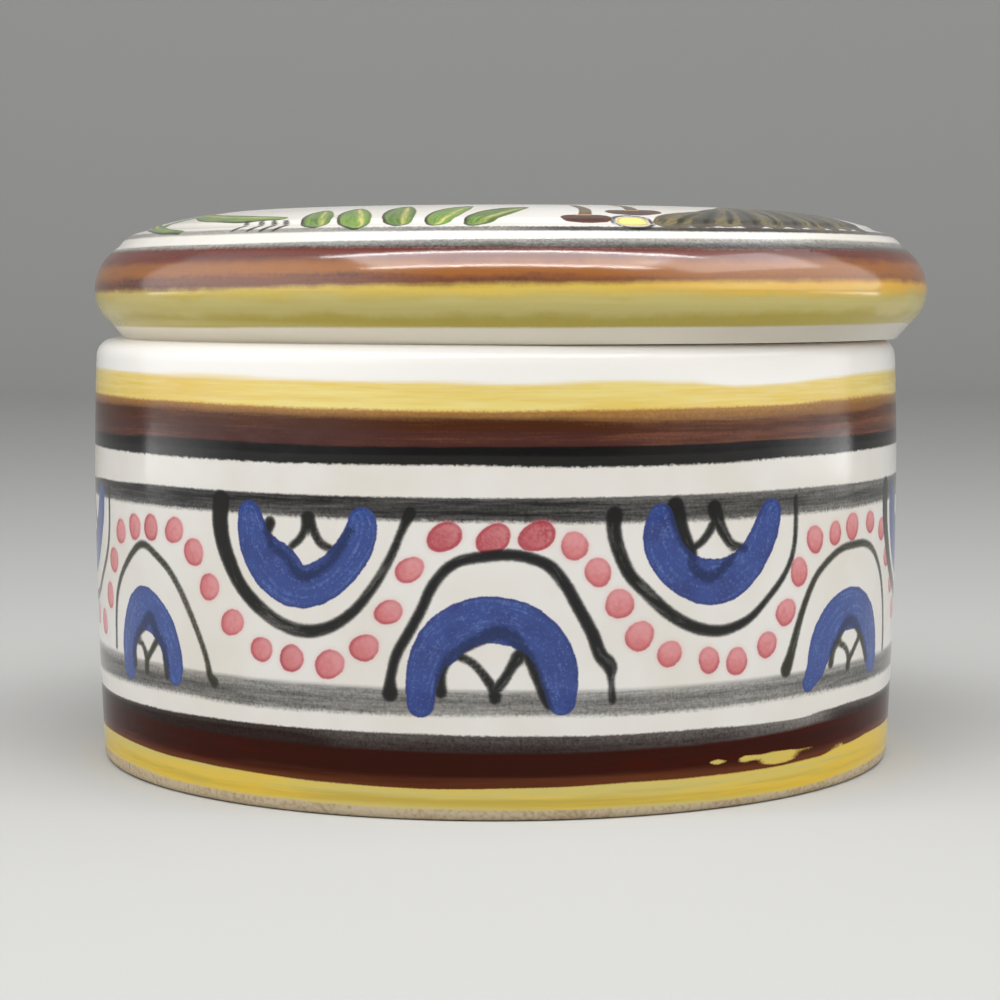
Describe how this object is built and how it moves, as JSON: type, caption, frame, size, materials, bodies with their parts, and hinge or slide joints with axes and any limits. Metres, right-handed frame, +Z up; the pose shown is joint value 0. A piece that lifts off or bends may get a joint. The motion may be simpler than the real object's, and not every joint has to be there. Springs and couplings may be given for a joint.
{
  "type": "pyxis box",
  "caption": "Round glazed ceramic box with painted bands, arches and festoons, and a loose overhanging lid that an inner flange locates on the rim.",
  "frame": {"origin": "centre of the flat foot of the box body, on the surface that it stands on", "axes": "+Z up along the axis of the box body, -Y towards the front that the picture shows, +X to that viewer's right"},
  "size_m": [0.1034, 0.1032, 0.0672],
  "materials": {
    "body_glaze": "clear gloss glaze over hand painted bands, bare fired clay at the foot",
    "lid_glaze": "clear gloss glaze over hand painted bands and flowers"
  },
  "bodies": {
    "box_body": {"box_body": "body_glaze"},
    "lid": {"lid": "lid_glaze"}
  },
  "joints": [
    {"name": "lid_lift", "type": "slide", "parent": "box_body", "child": "lid", "axis": [0, 0, 1], "range_m": [0, 0.06]}
  ]
}
